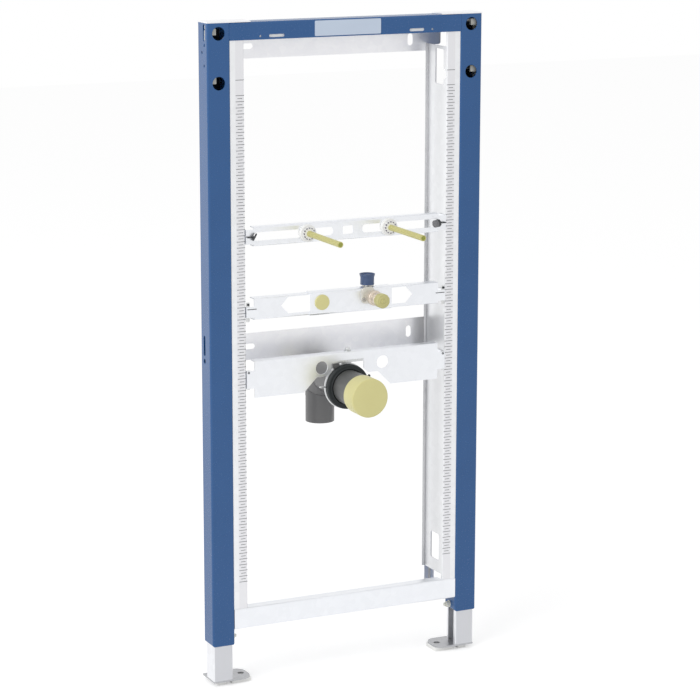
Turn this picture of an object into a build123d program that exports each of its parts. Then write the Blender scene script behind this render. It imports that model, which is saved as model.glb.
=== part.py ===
# Installation frame for a wall-hung urinal, in millimetres, +Z up, front towards -Y.
# Two painted posts and a painted beam carry galvanised scale rails, on which three
# cross rails slide: one for the fixing rods, one for the water supply, one for the drain.
# The feet telescope in the posts. The origin is on the floor, below the middle of the box.
import os

from build123d import *

os.makedirs("parts", exist_ok=True)

# Outer frame, with the legs pushed right in
frame_width = 500.0
frame_height = 1120.0
post_width = 40.0
post_depth = 36.0
post_sheet = 2.0
post_lip = 11.0
post_foot_height = 72.0
post_corner = 4.0
anchor_hole_dia = 22.0
anchor_hole_drop = 17.0
anchor_hole_pitch = 80.0
sheet_bend = 3.0
beam_height = 29.0
beam_depth = 34.0
beam_lip = 12.0
beam_slot_x = 127.5
beam_slot_length = 28.0
beam_slot_height = 5.0
beam_slot_rise = 5.5
beam_pin_x = 156.5
beam_pin_dia = 4.0
label_width = 120.0
label_height = 25.0
label_sheet = 0.8
label_corner = 2.0
bracket_sheet = 2.0
bracket_length = 76.0
bracket_drop = 30.0

# Outer side of the posts
side_slot_width = 8.0
side_slot_length = 28.0
side_slot_y = 13.0
side_slot_drop = 16.0
mid_slot_width = 7.0
mid_slot_length = 34.0
mid_slot_y = 24.0
mid_slot_height = 587.0
mid_hole_dia = 8.0
mid_hole_gap = 9.0
small_hole_dia = 5.0
small_holes = ((12.0, 36.0), (22.0, 48.0), (13.0, 69.0))

# Galvanised scale rails beside the posts
rail_sheet = 1.5
rail_bend = 2.5
rail_flange = 25.0
rail_setback = 2.0
rail_back = 70.0
rail_lip = 20.0
rail_notch_drop = 56.0
keyhole_width = 29.0
keyhole_length = 59.0
keyhole_y = 28.5
keyhole_drop = 91.0
keyhole_bulge_dia = 18.0
keyhole_bulge_drop = 12.0
window_corner = 3.0
low_window_width = 30.0
low_window_length = 47.0
low_window_y = 31.0
low_window_height = 188.0

# Wall plates behind the scale rails and the rail at the bottom
wall_sheet = 2.0
wall_slot_x = 150.0
wall_slot_length = 20.0
wall_slot_width = 9.5
top_wall_height = 40.0
top_wall_drop = 28.0
top_wall_lap = 23.0
top_wall_tab = 30.0
top_wall_corner = 4.0
low_wall_height = 46.0
low_wall_bottom = 545.0
low_wall_lap = 15.0
bottom_rail_bottom = 98.0
bottom_rail_height = 35.5
bottom_rail_depth = 20.0
gusset_width = 19.0
gusset_height = 62.0
gusset_slope = 8.0

# Telescoping legs and feet
leg_clearance = 0.5
leg_sheet = 2.0
leg_lip = 7.0
leg_height = 320.0
foot_length = 71.0
foot_depth = 50.0
foot_sheet = 3.0
foot_round = 18.0
foot_hole_dia = 11.0
foot_hole_inset = 12.0
pad_height = 7.0
pad_depth = 38.0
outer_pad_length = 16.0
outer_pad_inset = 10.0
inner_pad_length = 36.0
pad_corner = 3.0
pad_hole_margin = 2.0

# Shared sizes of the three sliding cross rails
slide_clearance = 0.3
fit_clearance = 0.2
cut_margin = 1.0
end_tab_length = 14.0
end_flange_depth = 26.0

# Upper cross rail with the fixing rods
fixing_height = 767.0
fixing_rail_height = 32.0
fixing_rail_depth = 15.0
fixing_tab_inset = 4.0
fixing_slot_height = 14.0
fixing_slot_corner = 2.0
fixing_slot_round = 6.0
fixing_mid_slot = 18.5
fixing_slot_start = 27.0
fixing_slot_end_gap = 13.7
rod_pitch = 150.0
rod_dia = 10.0
rod_reach = 130.0
rod_core_dia = 8.0
sleeve_tip_wall = 1.5
sleeve_tip_depth = 8.0
rod_tail = 22.0
boss_dia = 29.0
boss_flange = 7.0
boss_back_dia = 25.0
boss_hub_dia = 20.0
boss_reach = 11.0
boss_back = 5.0
boss_notches = 12
boss_notch_width = 2.2
boss_notch_depth = 1.6
clip_inset = 15.7
clip_tilt = 80.0
clip_height = 15.0
clip_width = 7.0
clip_depth = 6.0
clip_pin_dia = 3.0

# Middle cross rail with the water supply
supply_height = 646.0
supply_rail_height = 36.0
supply_rail_depth = 18.0
supply_tab_drop = 14.0
supply_tab_rise = 4.0
window_half = 122.0
window_gap = 3.5
window_point = 13.0
saddle_left = 70.0
saddle_right = 82.0
outlet_x = 48.0
outlet_rise = 2.0
elbow_dia = 21.0
elbow_bore = 15.0
elbow_bend = 12.0
inlet_y = 20.0
neck_reach = 37.0
lug_length = 42.0
lug_height = 27.0
lug_sheet = 4.0
lug_shift = 8.0
inlet_hole_gap = 1.0
neck_ring_step = 2.0
neck_ring_width = 4.0
cap_wall = 2.0
cap_edge = 0.8
inlet_cap_wall = 2.3
inlet_cap_height = 24.0
inlet_lip = 1.5
inlet_lip_height = 3.0
outlet_cap_wall = 1.8
outlet_cap_length = 12.0
outlet_nub_dia = 8.0
outlet_nub_height = 1.5
plug_rim = 2.5
plug_sheet = 2.5
plug_stem = 8.0

# Lower cross rail with the drain
drain_top = 558.5
drain_plate_height = 62.5
drain_plate_depth = 15.0
drain_hole_dia = 22.0
drain_hole_x = (-48.0, 66.0)
drain_hole_drop = 23.0
drain_tab_height = 30.0
arch_half = 82.0
arch_shoulder = 57.0
arch_neck_inset = 0.5
arch_crown_inset = 8.5
arch_shoulder_drop = 17.5
arch_neck_drop = 9.0
arch_gap = 7.5
drain_axis_drop = 59.5
pipe_dia = 50.0
pipe_wall = 3.0
pipe_drop_y = 111.0
pipe_mitre = 24.0
pipe_end_height = 416.0
pipe_swell = 0.4
spigot_length = 45.0
pipe_front = 72.0
collar_wall = 13.5
clamp_sheet = 2.5
clamp_front = 4.0
clamp_back = 4.0
hanger_width = 18.0
collar_front = 13.0
collar_back = 10.0
socket_wall = 3.6
socket_front = 80.0
drain_cap_wall = 4.3
drain_cap_reach = 90.0
drain_cap_length = 34.0

# Places that follow from the sizes above
half_width = frame_width / 2
post_inner = half_width - post_width
post_top = frame_height - bracket_sheet
beam_bottom = post_top - beam_height
web_x = post_inner - rail_flange
slide_x = web_x - slide_clearance
rod_x = rod_pitch / 2
pipe_radius = pipe_dia / 2
clamp_radius = pipe_radius + collar_wall
drain_axis_height = drain_top - drain_axis_drop
pipe_back = pipe_drop_y + pipe_radius + pipe_swell
box_middle_y = (pipe_back - rod_reach) / 2
to_origin = Pos(0, -box_middle_y, 0)

nodes = {}


def keep(name, solid):
    nodes[name] = to_origin * solid


def keep_pair(name, right_solid):
    keep("right_" + name, right_solid)
    keep("left_" + name, mirror(right_solid, about=Plane.YZ))


def folded_sheet(line, sheet, side):
    return make_face(offset(line, amount=sheet, side=side))


def along_x(section, x0, x1):
    return extrude(Plane.YZ.offset(x0) * section, amount=x1 - x0)


def upward(section, z0, z1):
    return extrude(Plane.XY.offset(z0) * section, amount=z1 - z0)


def through_front(section, y0, y1):
    # Sections are drawn in X and Z, and run back from y0 to y1.
    front = Plane(origin=(0, y1, 0), x_dir=(1, 0, 0), z_dir=(0, -1, 0))
    return extrude(front * section, amount=y1 - y0)


def turned(points, x, z):
    # A round piece with its axis along Y: points are radius and Y.
    face = make_face(Polyline(*points, close=True))
    axis = Axis((x, 0, z), (0, 1, 0))
    return revolve(Plane(origin=(x, 0, z), x_dir=(1, 0, 0), z_dir=(0, 0, 1)) * face, axis=axis)


def channel_line(y0, y1, z0, z1, bend):
    return FilletPolyline((y1, z1), (y0, z1), (y0, z0), (y1, z0), radius=bend)


def end_tabs(z0, z1, tab_z0, tab_z1, depth):
    # What the ends of a cross rail lose, and the flanges that bear on the scale rails.
    cuts = []
    flanges = []
    for side in (-1, 1):
        for low, high in ((z0, tab_z0), (tab_z1, z1)):
            gap = Rectangle(end_tab_length, high - low)
            place = Pos(side * (slide_x - end_tab_length / 2), (low + high) / 2)
            cuts.append(through_front(place * gap, -cut_margin, depth + cut_margin))
        flange = Pos(side * (slide_x - rail_sheet / 2), end_flange_depth / 2) * Rectangle(
            rail_sheet, end_flange_depth)
        flanges.append(upward(flange, tab_z0, tab_z1))
    return cuts, flanges


def cross_rail(z0, height, depth, tab_z0, tab_z1):
    z1 = z0 + height
    section = folded_sheet(channel_line(0, depth, z0, z1, rail_bend), rail_sheet, Side.LEFT)
    rail = along_x(section, -slide_x, slide_x)
    cuts, flanges = end_tabs(z0, z1, tab_z0, tab_z1, depth)
    return rail - cuts + flanges


# Posts: C sections with their open side at the back
post_line = FilletPolyline(
    (post_inner + post_lip, post_depth), (post_inner, post_depth), (post_inner, 0),
    (half_width, 0), (half_width, post_depth), (half_width - post_lip, post_depth),
    radius=sheet_bend)
post = upward(folded_sheet(post_line, post_sheet, Side.LEFT), post_foot_height, post_top)
post_mid = post_inner + post_width / 2
for step in range(2):
    anchor_z = post_top - anchor_hole_drop - step * anchor_hole_pitch
    post -= through_front(Pos(post_mid, anchor_z) * Circle(anchor_hole_dia / 2), -cut_margin, 2 * post_sheet)
side_plane = Plane.YZ.offset(half_width - 2 * post_sheet)
side_cuts = Sketch() + [
    Pos(side_slot_y, post_top - side_slot_drop) * SlotOverall(
        side_slot_length, side_slot_width, rotation=90),
    Pos(mid_slot_y, mid_slot_height) * SlotOverall(mid_slot_length, mid_slot_width, rotation=90),
    Pos(mid_slot_y, mid_slot_height - mid_slot_length / 2 - mid_hole_gap) * Circle(mid_hole_dia / 2),
]
for hole_y, hole_drop in small_holes:
    side_cuts += Pos(hole_y, post_top - hole_drop) * Circle(small_hole_dia / 2)
post -= extrude(side_plane * side_cuts, amount=3 * post_sheet)
foot_corners = Pos(post_mid, post_foot_height + post_corner / 2) * Rectangle(post_width, post_corner)
foot_corners -= Pos(post_mid, post_foot_height + post_width / 2) * RectangleRounded(
    post_width, post_width, post_corner)
post -= through_front(foot_corners, -cut_margin, post_depth + cut_margin)
keep_pair("post", post)

# Beam: front wall, top and a lip at the back, with slots near the lower edge
beam_line = FilletPolyline(
    (0, beam_bottom), (0, post_top), (beam_depth, post_top), (beam_depth, post_top - beam_lip),
    radius=sheet_bend)
beam = along_x(folded_sheet(beam_line, post_sheet, Side.RIGHT), -post_inner, post_inner)
slot_z = beam_bottom + beam_slot_rise
for side in (-1, 1):
    slot = Pos(side * beam_slot_x, slot_z) * SlotOverall(beam_slot_length, beam_slot_height)
    pin_hole = Pos(side * beam_pin_x, slot_z) * Circle(beam_pin_dia / 2)
    beam -= through_front(Sketch() + [slot, pin_hole], -cut_margin, 2 * post_sheet)
keep("top_beam", beam)
label_face = Pos(0, beam_bottom + beam_height / 2) * RectangleRounded(
    label_width, label_height, label_corner)
keep("size_label", through_front(label_face, -label_sheet, 0))

# Corner brackets lie on the posts and the beam and turn down behind the posts
bracket_back = post_depth + sheet_bend
bracket_line = FilletPolyline(
    (0, frame_height), (bracket_back, frame_height), (bracket_back, frame_height - bracket_drop),
    radius=sheet_bend)
bracket_face = folded_sheet(bracket_line, bracket_sheet, Side.RIGHT)
keep_pair("corner_bracket", along_x(bracket_face, half_width - bracket_length, half_width))

# Scale rails: a front flange beside the post, a deep web and a lip at the back
rail_line = FilletPolyline(
    (post_inner, rail_setback), (web_x, rail_setback), (web_x, rail_back),
    (web_x + rail_lip, rail_back), radius=rail_bend)
rail_top = post_top - sheet_bend
rail = upward(folded_sheet(rail_line, rail_sheet, Side.RIGHT), bottom_rail_bottom, rail_top)
web_plane = Plane.YZ.offset(web_x - rail_sheet)
rail_inside = rail_setback + rail_bend
notch_z = frame_height - rail_notch_drop
notch = Pos((rail_inside + rail_back + rail_sheet) / 2, (notch_z + frame_height) / 2) * Rectangle(
    rail_back + rail_sheet - rail_inside, frame_height - notch_z)
keyhole_z = frame_height - keyhole_drop
keyhole = Pos(keyhole_y, keyhole_z) * RectangleRounded(keyhole_width, keyhole_length, window_corner)
bulge_y = keyhole_y - keyhole_width / 2
bulge = Pos(bulge_y, keyhole_z - keyhole_bulge_drop) * Circle(keyhole_bulge_dia / 2)
window = Pos(low_window_y, low_window_height) * RectangleRounded(
    low_window_width, low_window_length, window_corner)
web_cuts = Sketch() + [keyhole, bulge, window]
rail -= extrude(web_plane * web_cuts, amount=3 * rail_sheet)
rail -= extrude(web_plane * notch, amount=rail_lip + 3 * rail_sheet)
keep_pair("scale_rail", rail)

# Wall plates on the back lips of the scale rails
top_wall_z1 = frame_height - top_wall_drop
top_wall_z0 = top_wall_z1 - top_wall_height
tab_x = web_x + rail_sheet
top_wall_face = Pos(0, (top_wall_z0 + top_wall_z1) / 2) * Rectangle(2 * tab_x, top_wall_height)
top_wall_face += Pos(0, top_wall_z1 - top_wall_tab / 2) * RectangleRounded(
    2 * (web_x + top_wall_lap), top_wall_tab, top_wall_corner)
low_wall_z = low_wall_bottom + low_wall_height / 2
low_wall_face = Pos(0, low_wall_z) * Rectangle(2 * (web_x + low_wall_lap), low_wall_height)


def wall_slots(z):
    flat = Pos(-wall_slot_x, z) * SlotOverall(wall_slot_length, wall_slot_width)
    upright = Pos(wall_slot_x, z) * SlotOverall(wall_slot_length, wall_slot_width, rotation=90)
    return Sketch() + [flat, upright]


wall_back = rail_back + wall_sheet
top_wall_face -= wall_slots((top_wall_z0 + top_wall_z1) / 2)
low_wall_face -= wall_slots(low_wall_z)
keep("top_wall_plate", through_front(top_wall_face, rail_back, wall_back))
keep("lower_wall_plate", through_front(low_wall_face, rail_back, wall_back))

# Bottom rail: its front passes before the scale rails to the posts
bottom_z1 = bottom_rail_bottom + bottom_rail_height
bottom_front = rail_setback - rail_sheet
bottom_section = folded_sheet(
    channel_line(bottom_front, bottom_rail_depth, bottom_rail_bottom, bottom_z1, rail_bend),
    rail_sheet, Side.LEFT)
bottom_rail = along_x(bottom_section, -post_inner, post_inner)
flange_gap = Pos(post_inner - rail_flange / 2, rail_setback + bottom_rail_depth / 2) * Rectangle(
    rail_flange, bottom_rail_depth)
flange_cut = upward(flange_gap, bottom_rail_bottom - cut_margin, bottom_z1 + cut_margin)
bottom_rail -= flange_cut
bottom_rail -= mirror(flange_cut, about=Plane.YZ)
keep("bottom_rail", bottom_rail)
gusset_face = make_face(Polyline(
    (web_x, bottom_rail_bottom), (web_x + gusset_width, bottom_rail_bottom),
    (web_x + gusset_width, bottom_rail_bottom + gusset_height - gusset_slope),
    (web_x, bottom_rail_bottom + gusset_height), close=True))
keep_pair("gusset", through_front(gusset_face, rail_back, wall_back))

# Legs: C sections with their open side inwards, on a foot plate with two pads
foot_top = pad_height + foot_sheet
leg_outer = half_width - post_sheet - leg_clearance
leg_inner = post_inner + post_sheet + leg_clearance
leg_front = post_sheet + leg_clearance
leg_back = post_depth - post_sheet - leg_clearance
leg_line = FilletPolyline(
    (leg_inner, leg_front + leg_lip), (leg_inner, leg_front), (leg_outer, leg_front),
    (leg_outer, leg_back), (leg_inner, leg_back), (leg_inner, leg_back - leg_lip),
    radius=sheet_bend)
keep_pair("leg", upward(folded_sheet(leg_line, leg_sheet, Side.LEFT), foot_top, foot_top + leg_height))
foot_inner = leg_outer - foot_length
foot_mid_y = leg_front + foot_depth / 2
foot_face = Pos(leg_outer - foot_length / 2, foot_mid_y) * Rectangle(foot_length, foot_depth)
foot_face = fillet(foot_face.vertices().group_by(Axis.X)[0], foot_round)
foot_face -= Pos(foot_inner + foot_hole_inset, foot_mid_y) * Circle(foot_hole_dia / 2)
keep_pair("foot_plate", upward(foot_face, pad_height, foot_top))
outer_pad = Pos(leg_outer - outer_pad_inset - outer_pad_length / 2, foot_mid_y) * RectangleRounded(
    outer_pad_length, pad_depth, pad_corner)
inner_pad = Pos(foot_inner + inner_pad_length / 2, foot_mid_y) * RectangleRounded(
    inner_pad_length, pad_depth, pad_corner)
inner_pad -= Pos(foot_inner + foot_hole_inset, foot_mid_y) * Circle(foot_hole_dia / 2 + pad_hole_margin)
keep_pair("foot_pads", upward(outer_pad + inner_pad, 0, pad_height))

# Upper cross rail with slots for the fixing rods
fixing_z0 = fixing_height - fixing_rail_height / 2
fixing_z1 = fixing_z0 + fixing_rail_height
fixing_rail = cross_rail(
    fixing_z0, fixing_rail_height, fixing_rail_depth,
    fixing_z0 + fixing_tab_inset, fixing_z1 - fixing_tab_inset)
slot_end = slide_x - fixing_slot_end_gap
slot_length = slot_end - fixing_slot_start
side_slot = RectangleRounded(slot_length, fixing_slot_height, fixing_slot_round)
fixing_slots = Sketch() + [
    Pos(side * (slot_end - slot_length / 2), fixing_height) * side_slot for side in (-1, 1)]
fixing_slots += Pos(0, fixing_height) * RectangleRounded(
    fixing_mid_slot, fixing_slot_height, fixing_slot_corner)
fixing_rail -= through_front(fixing_slots, -cut_margin, 2 * rail_sheet)
keep("fixing_rail", fixing_rail)

# Rod bosses grip the rail from both sides, with a notched rim in front
stem_radius = fixing_slot_height / 2 - fit_clearance
boss_bore = rod_core_dia / 2 + fit_clearance
boss_points = (
    (boss_bore, -boss_reach), (boss_hub_dia / 2, -boss_reach), (boss_hub_dia / 2, -boss_flange),
    (boss_dia / 2 - cap_edge, -boss_flange), (boss_dia / 2, cap_edge - boss_flange), (boss_dia / 2, 0),
    (stem_radius, 0), (stem_radius, rail_sheet),
    (boss_back_dia / 2, rail_sheet), (boss_back_dia / 2, rail_sheet + boss_back),
    (boss_bore, rail_sheet + boss_back))
boss = turned(boss_points, rod_x, fixing_height)
notch_face = Pos(boss_hub_dia / 2, 0) * Rectangle(2 * boss_notch_depth, boss_notch_width)
rim_notches = Sketch() + [Rot(0, 0, turn * 360 / boss_notches) * notch_face for turn in range(boss_notches)]
boss -= through_front(Pos(rod_x, fixing_height) * rim_notches, -boss_reach - cut_margin, -boss_flange)
keep_pair("rod_boss", boss)

# Rods: a protective sleeve, open at its tip, stands on the boss, and the core runs through to the back
tip_bore = rod_dia / 2 - sleeve_tip_wall
tip_floor = sleeve_tip_depth - rod_reach
rod_points = (
    (0, tip_floor), (tip_bore, tip_floor), (tip_bore, -rod_reach),
    (rod_dia / 2, -rod_reach), (rod_dia / 2, -boss_reach),
    (rod_core_dia / 2, -boss_reach), (rod_core_dia / 2, rod_tail), (0, rod_tail))
keep_pair("rod_sleeve", turned(rod_points, rod_x, fixing_height))

# Clips at the ends of the upper rail, with a pin towards the scale rail
clip_x = slide_x - clip_inset
clip_face = Pos(clip_x, fixing_height) * SlotOverall(clip_height, clip_width, rotation=clip_tilt)
clip = through_front(clip_face, -clip_depth, 0)
clip_pin = Plane.YZ.offset(clip_x) * Pos(-clip_depth / 2, fixing_height) * Circle(clip_pin_dia / 2)
clip += extrude(clip_pin, amount=slide_x - clip_x)
keep_pair("fixing_clip", clip)

# Middle cross rail with a long window that is pointed at both ends
supply_z0 = supply_height - supply_rail_height / 2
supply_z1 = supply_z0 + supply_rail_height
outlet_z = supply_height + outlet_rise
inlet_cap_base = supply_z1 + rail_sheet
inlet_cap_top = inlet_cap_base + inlet_cap_height
inlet_top = inlet_cap_top - inlet_lip_height - fit_clearance
supply_rail = cross_rail(
    supply_z0, supply_rail_height, supply_rail_depth,
    supply_z0 + supply_tab_rise, supply_z1 - supply_tab_drop)
half_window = elbow_dia / 2 + window_gap
shoulder_x = window_half - window_point
window_face = make_face(Polyline(
    (-window_half, outlet_z), (-shoulder_x, outlet_z - half_window), (shoulder_x, outlet_z - half_window),
    (window_half, outlet_z), (shoulder_x, outlet_z + half_window), (-shoulder_x, outlet_z + half_window),
    close=True))
supply_rail -= through_front(window_face, -cut_margin, rail_sheet + rail_bend)
inlet_hole = upward(
    Pos(outlet_x, inlet_y) * Circle(elbow_dia / 2 + inlet_hole_gap), supply_height, inlet_cap_top)
supply_rail -= inlet_hole
keep("supply_rail", supply_rail)

# Saddle that slides along the middle rail and holds the fittings
saddle_line = channel_line(
    -rail_sheet, supply_rail_depth, supply_z0 - rail_sheet, supply_z1 + rail_sheet, rail_bend + rail_sheet)
saddle = along_x(folded_sheet(saddle_line, rail_sheet, Side.LEFT), -saddle_left, saddle_right)
for side in (-1, 1):
    port = Pos(side * outlet_x, outlet_z) * Circle(elbow_dia / 2 + fit_clearance)
    saddle -= through_front(port, -2 * rail_sheet, rail_bend)
saddle -= inlet_hole
keep("supply_saddle", saddle)
plug_radius = elbow_dia / 2 + plug_rim
plug_front = -rail_sheet - plug_sheet
plug_points = (
    (0, plug_front), (plug_radius - cap_edge, plug_front), (plug_radius, plug_front + cap_edge),
    (plug_radius, -rail_sheet),
    (elbow_dia / 2, -rail_sheet), (elbow_dia / 2, plug_stem), (0, plug_stem))
keep("blind_plug", turned(plug_points, -outlet_x, outlet_z))

# Elbow: a bent tube with a lug on the front of the saddle and a ring on its neck
elbow_path = FilletPolyline(
    (outlet_x, -neck_reach, outlet_z), (outlet_x, inlet_y, outlet_z), (outlet_x, inlet_y, inlet_top),
    radius=elbow_bend)
elbow_start = Plane(origin=elbow_path @ 0, z_dir=elbow_path % 0)
elbow = sweep(elbow_start * Circle(elbow_dia / 2), path=elbow_path)
lug = Pos(outlet_x - lug_shift, outlet_z) * SlotOverall(lug_length, lug_height)
lug_front = -rail_sheet - lug_sheet
elbow += through_front(lug, lug_front, -rail_sheet)
ring = Pos(outlet_x, outlet_z) * Circle(elbow_dia / 2 + neck_ring_step)
elbow += through_front(ring, lug_front - neck_ring_width, lug_front)
elbow -= sweep(elbow_start * Circle(elbow_bore / 2), path=elbow_path)
keep("supply_elbow", elbow)

# Protective caps on the two ends of the elbow
cap_bore = elbow_dia / 2 + fit_clearance
inlet_radius = cap_bore + inlet_cap_wall
lip_radius = inlet_radius + inlet_lip
inlet_profile = make_face(Polyline(
    (cap_bore, inlet_cap_base), (inlet_radius, inlet_cap_base),
    (inlet_radius, inlet_cap_top - 2 * inlet_lip_height),
    (lip_radius, inlet_cap_top - inlet_lip_height), (lip_radius, inlet_cap_top),
    (0, inlet_cap_top), (0, inlet_top + fit_clearance), (cap_bore, inlet_top + fit_clearance),
    close=True))
inlet_axis = Axis((outlet_x, inlet_y, 0), (0, 0, 1))
inlet_plane = Plane(origin=(outlet_x, inlet_y, 0), x_dir=(1, 0, 0), z_dir=(0, -1, 0))
keep("inlet_cap", revolve(inlet_plane * inlet_profile, axis=inlet_axis))
cap_front = -neck_reach - cap_wall
nub_front = cap_front - outlet_nub_height
outlet_radius = cap_bore + outlet_cap_wall
outlet_points = (
    (0, nub_front), (outlet_nub_dia / 2, nub_front), (outlet_nub_dia / 2, cap_front),
    (outlet_radius - cap_edge, cap_front), (outlet_radius, cap_front + cap_edge),
    (outlet_radius, cap_front + outlet_cap_length),
    (cap_bore, cap_front + outlet_cap_length), (cap_bore, -neck_reach - fit_clearance),
    (0, -neck_reach - fit_clearance))
keep("outlet_cap", turned(outlet_points, outlet_x, outlet_z))

# Lower cross rail: a tall plate with a flange on top and an arch over the drain pipe
drain_z0 = drain_top - drain_plate_height
drain_tab_z0 = drain_z0 + (drain_plate_height - drain_tab_height) / 2
drain_line = FilletPolyline(
    (drain_plate_depth, drain_top), (0, drain_top), (0, drain_z0), radius=rail_bend)
drain_plate = along_x(folded_sheet(drain_line, rail_sheet, Side.LEFT), -slide_x, slide_x)
tab_cuts, tab_flanges = end_tabs(
    drain_z0, drain_top, drain_tab_z0, drain_tab_z0 + drain_tab_height, drain_plate_depth)
drain_plate = drain_plate - tab_cuts + tab_flanges
collar_top = drain_axis_height + clamp_radius
shoulder_z = collar_top - arch_shoulder_drop
neck_x = clamp_radius - arch_neck_inset
crown_x = clamp_radius - arch_crown_inset
arch_right = [
    (arch_half, drain_z0 - cut_margin), (arch_shoulder, shoulder_z), (neck_x, shoulder_z),
    (crown_x, collar_top - arch_neck_drop), (crown_x, collar_top + arch_gap)]
arch_points = arch_right + [(-x, z) for x, z in reversed(arch_right)]
drain_plate -= through_front(make_face(Polyline(*arch_points, close=True)), -cut_margin, 2 * rail_sheet)
for x in drain_hole_x:
    hole = Pos(x, drain_top - drain_hole_drop) * Circle(drain_hole_dia / 2)
    drain_plate -= through_front(hole, -cut_margin, 2 * rail_sheet)
keep("drain_plate", drain_plate)

# Pipe clamp hung from the flange of the plate, with a rubber collar inside
clamp_inner = clamp_radius - clamp_sheet
clamp = turned((
    (clamp_inner, -clamp_front), (clamp_radius, -clamp_front), (clamp_radius, clamp_back),
    (clamp_inner, clamp_back)), 0, drain_axis_height)
hanger_top = drain_top - rail_sheet
hanger_y = clamp_back - rail_sheet
hanger_line = FilletPolyline(
    (hanger_y, collar_top - clamp_sheet / 2), (hanger_y, hanger_top), (drain_plate_depth, hanger_top),
    radius=rail_bend)
hanger = along_x(folded_sheet(hanger_line, rail_sheet, Side.RIGHT), -hanger_width / 2, hanger_width / 2)
keep("pipe_clamp", clamp + hanger)
bend_radius = pipe_radius + pipe_swell
pipe_fit = bend_radius + fit_clearance
collar_seat = clamp_inner - fit_clearance
collar_points = (
    (pipe_fit, -collar_front), (clamp_radius - cap_edge, -collar_front),
    (clamp_radius, cap_edge - collar_front), (clamp_radius, -clamp_front),
    (collar_seat, -clamp_front), (collar_seat, collar_back), (pipe_fit, collar_back))
keep("drain_collar", turned(collar_points, 0, drain_axis_height))

# Drain bend of three welded pipe lengths, turned down to the pipe's size at its lower end
pipe_path = Polyline(
    (0, -pipe_front, drain_axis_height), (0, pipe_drop_y - pipe_mitre, drain_axis_height),
    (0, pipe_drop_y, drain_axis_height - pipe_mitre), (0, pipe_drop_y, pipe_end_height))
pipe_start = Plane(origin=pipe_path @ 0, z_dir=(0, 1, 0))
pipe_solid = sweep(pipe_start * Circle(bend_radius), path=pipe_path, transition=Transition.RIGHT)
pipe_hollow = sweep(
    pipe_start * Circle(pipe_radius - pipe_wall), path=pipe_path, transition=Transition.RIGHT)
spigot_ring = Circle(bend_radius + cut_margin) - Circle(pipe_radius)
spigot_cut = upward(
    Pos(0, pipe_drop_y) * spigot_ring, pipe_end_height - cut_margin, pipe_end_height + spigot_length)
keep("drain_bend", pipe_solid - pipe_hollow - spigot_cut)

# Socket on the front of the bend, with its protective cap
socket_radius = pipe_fit + socket_wall
socket_points = (
    (pipe_fit, -socket_front), (socket_radius, -socket_front), (socket_radius, -collar_front),
    (pipe_fit, -collar_front))
keep("drain_socket", turned(socket_points, 0, drain_axis_height))
drain_cap_bore = socket_radius + fit_clearance
drain_cap_radius = drain_cap_bore + drain_cap_wall
cap_back = drain_cap_length - drain_cap_reach
drain_cap_points = (
    (0, -drain_cap_reach), (drain_cap_radius - cap_edge, -drain_cap_reach),
    (drain_cap_radius, cap_edge - drain_cap_reach), (drain_cap_radius, cap_back),
    (drain_cap_bore, cap_back), (drain_cap_bore, -socket_front - fit_clearance),
    (0, -socket_front - fit_clearance))
keep("drain_cap", turned(drain_cap_points, 0, drain_axis_height))

for name, solid in nodes.items():
    export_step(solid, f"parts/{name}.step")
    print(name, round(solid.volume))
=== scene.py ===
import bmesh
import bpy
import numpy as np
from mathutils import Matrix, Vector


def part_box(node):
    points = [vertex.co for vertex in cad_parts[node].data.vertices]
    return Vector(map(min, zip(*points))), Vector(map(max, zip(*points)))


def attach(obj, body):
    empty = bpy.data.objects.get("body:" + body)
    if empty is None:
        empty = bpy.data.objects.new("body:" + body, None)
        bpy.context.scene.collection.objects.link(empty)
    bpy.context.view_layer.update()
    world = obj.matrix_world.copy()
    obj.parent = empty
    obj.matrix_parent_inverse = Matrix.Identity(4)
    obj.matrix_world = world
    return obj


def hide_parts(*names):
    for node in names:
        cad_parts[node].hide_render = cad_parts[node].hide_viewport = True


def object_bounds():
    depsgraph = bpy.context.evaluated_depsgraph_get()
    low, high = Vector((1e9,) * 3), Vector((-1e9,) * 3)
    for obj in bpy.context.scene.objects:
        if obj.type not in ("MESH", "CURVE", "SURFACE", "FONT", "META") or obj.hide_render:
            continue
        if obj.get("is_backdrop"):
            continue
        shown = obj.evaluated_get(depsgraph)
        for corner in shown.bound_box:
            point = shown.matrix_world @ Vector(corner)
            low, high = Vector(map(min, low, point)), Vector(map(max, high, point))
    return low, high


# Looks of the installation frame, in metres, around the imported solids.
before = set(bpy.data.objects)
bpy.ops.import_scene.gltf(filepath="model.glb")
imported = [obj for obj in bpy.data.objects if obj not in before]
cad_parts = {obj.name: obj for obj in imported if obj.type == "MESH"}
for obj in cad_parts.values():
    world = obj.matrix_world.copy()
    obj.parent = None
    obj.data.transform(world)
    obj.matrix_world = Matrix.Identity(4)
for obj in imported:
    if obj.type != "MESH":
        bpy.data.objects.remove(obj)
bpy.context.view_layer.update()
scene = bpy.context.scene
print("frame loaded:", len(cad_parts), "nodes")

sides = {"left": -1, "right": 1}
toRight, toBack, toFront, toTop = (1, 0, 0), (0, 1, 0), (0, -1, 0), (0, 0, 1)


# A ring shell is an array of cross sections, each with the same count of points.
def ringShell(rings, loop=False):
    # quads join each point to its neighbours in its ring and the next; the two end rings become faces
    count, around, _ = rings.shape
    index = np.arange(count * around).reshape(count, around)
    near = index if loop else index[:-1]
    far = np.roll(index, -1, 0) if loop else index[1:]
    quads = np.stack([near, np.roll(near, -1, 1), np.roll(far, -1, 1), far], -1).reshape(-1, 4).tolist()
    ends = [] if loop else [index[0, ::-1].tolist(), index[-1].tolist()]
    return rings.reshape(-1, 3), quads + ends


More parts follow.
